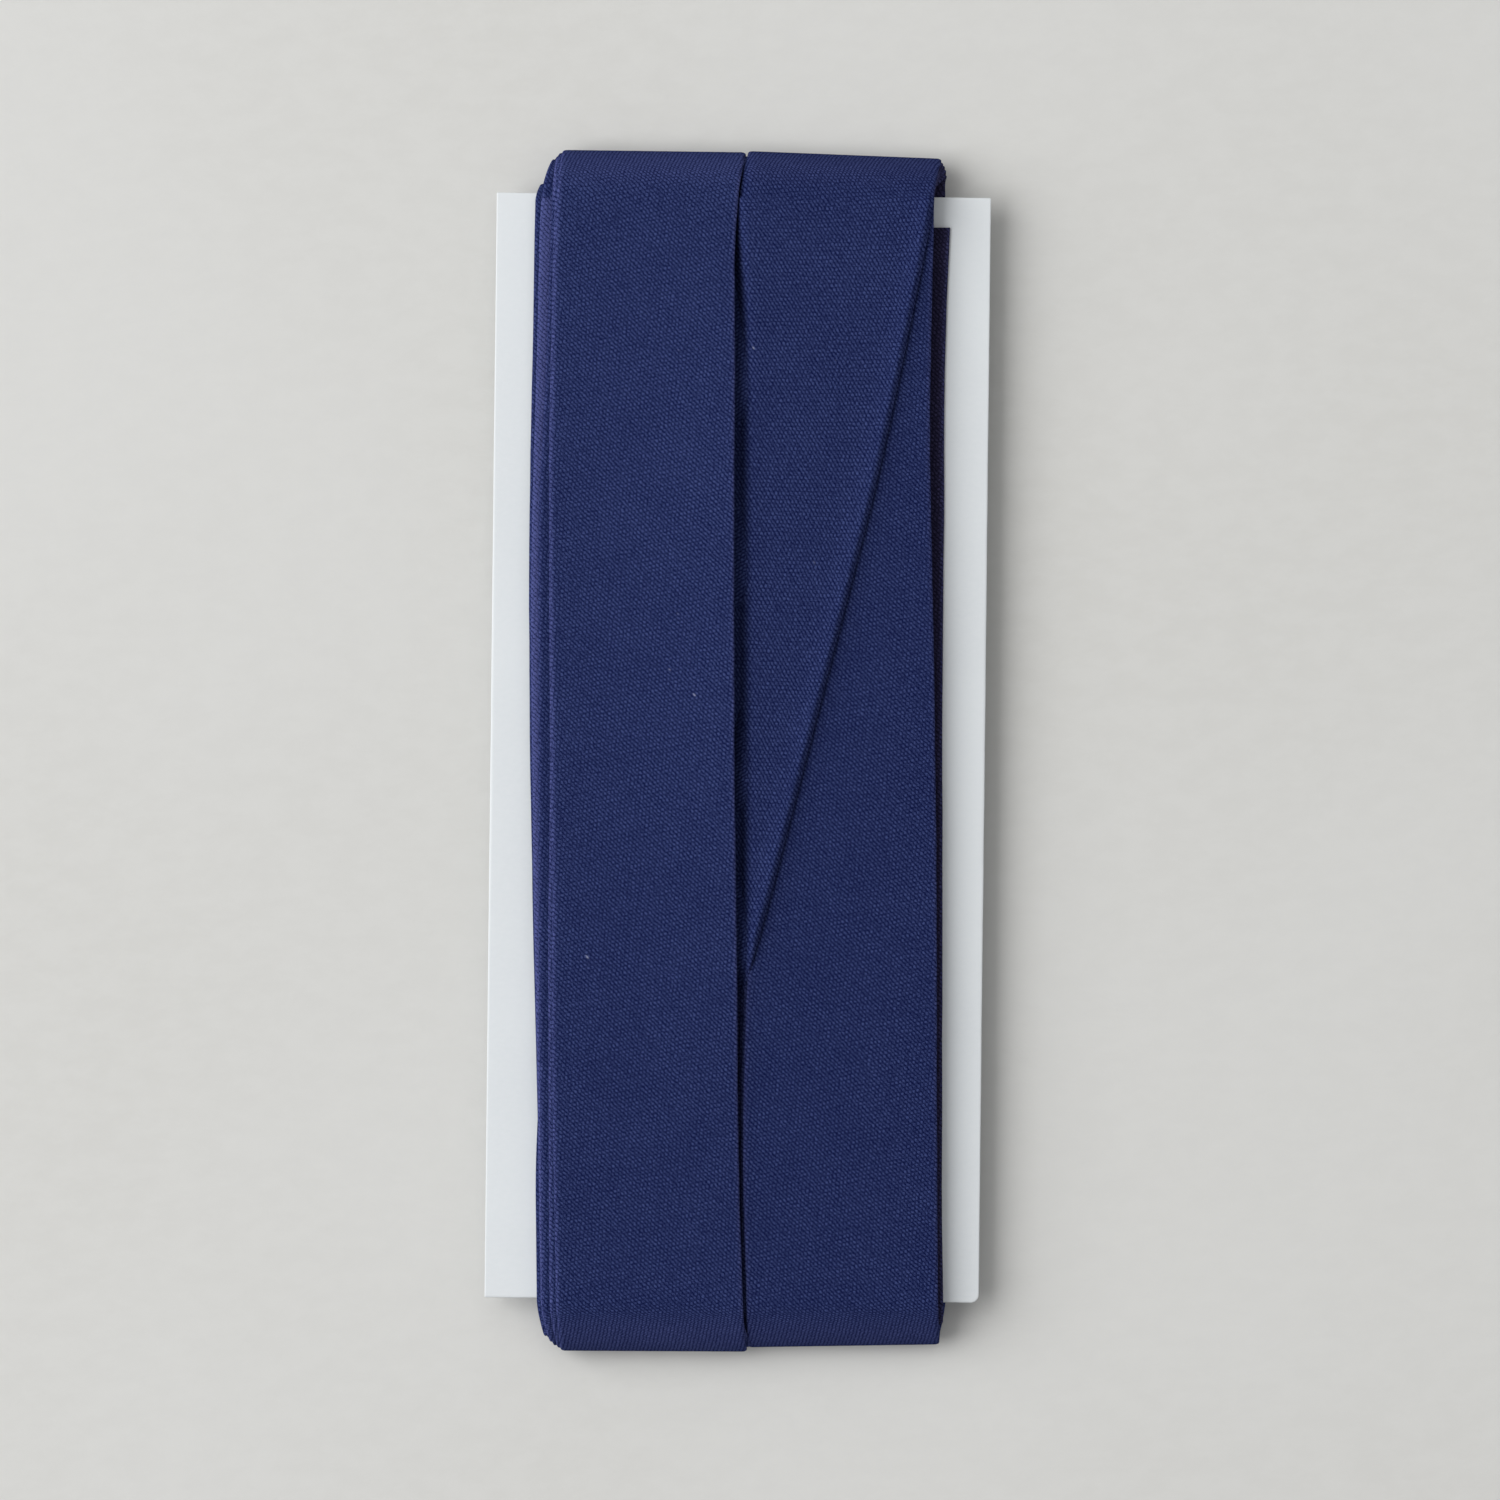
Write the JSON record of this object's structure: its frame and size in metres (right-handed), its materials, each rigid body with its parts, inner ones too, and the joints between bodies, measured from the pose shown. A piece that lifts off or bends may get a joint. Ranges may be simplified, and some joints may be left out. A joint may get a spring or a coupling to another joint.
{
  "type": "card of bias tape",
  "caption": "Flat board card wound lengthwise with folded navy cotton bias tape in side-by-side columns, a run of it crossing the front at a slant.",
  "frame": {"origin": "bottom centre of the whole part as it lies on its back", "axes": "+X to the card's right, +Y along the card to its top edge, +Z out of the card's front"},
  "size_m": [0.0529, 0.1262, 0.0084],
  "materials": {
    "board": "smooth white board, matt, with a cut paper edge",
    "cotton": "navy plain-weave cotton cut on the bias, matt with a faint sheen"
  },
  "bodies": {
    "root": {"card": "board", "tape_winding": "cotton", "tape_inner_end": "cotton"}
  },
  "joints": []
}
